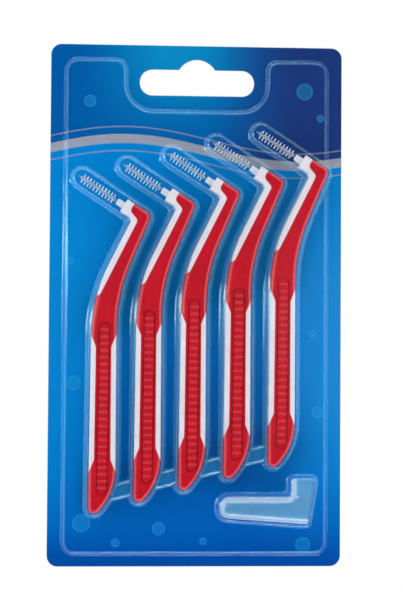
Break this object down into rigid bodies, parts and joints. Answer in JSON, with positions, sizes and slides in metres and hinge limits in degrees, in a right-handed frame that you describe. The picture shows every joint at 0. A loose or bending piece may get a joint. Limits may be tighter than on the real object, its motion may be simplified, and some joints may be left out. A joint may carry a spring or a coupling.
{
  "type": "interdental brush pack",
  "caption": "Hanging card with a clear formed blister over a row of angled two-tone interdental brushes and their clear travel cap; the blister lifts off the card.",
  "frame": {"origin": "middle of the card's back face, which is the face that the pack rests on", "axes": "+X across the card to the right, +Y up the card to the hang slot, +Z out of the printed face"},
  "size_m": [0.082, 0.146, 0.0071],
  "materials": {
    "card": "printed, gloss coated",
    "blister": "clear film",
    "cap": "clear moulded",
    "core": "white moulded",
    "grip": "satin soft touch",
    "sleeve": "pale moulded",
    "wire": "twisted, plain",
    "filament": "nylon filament"
  },
  "bodies": {
    "pack": {"backing_card": "card", "travel_cap": "cap", "brush_1_core": "core", "brush_1_grip": "grip", "brush_1_sleeve": "sleeve", "brush_1_wire": "wire", "brush_1_bristles": "filament", "brush_2_core": "core", "brush_2_grip": "grip", "brush_2_sleeve": "sleeve", "brush_2_wire": "wire", "brush_2_bristles": "filament", "brush_3_core": "core", "brush_3_grip": "grip", "brush_3_sleeve": "sleeve", "brush_3_wire": "wire", "brush_3_bristles": "filament", "brush_4_core": "core", "brush_4_grip": "grip", "brush_4_sleeve": "sleeve", "brush_4_wire": "wire", "brush_4_bristles": "filament", "brush_5_core": "core", "brush_5_grip": "grip", "brush_5_sleeve": "sleeve", "brush_5_wire": "wire", "brush_5_bristles": "filament"},
    "blister": {"blister_shell": "blister"}
  },
  "joints": [
    {"name": "blister_lift", "type": "slide", "parent": "pack", "child": "blister", "axis": [0, 0, 1], "range_m": [0, 0.03]}
  ]
}
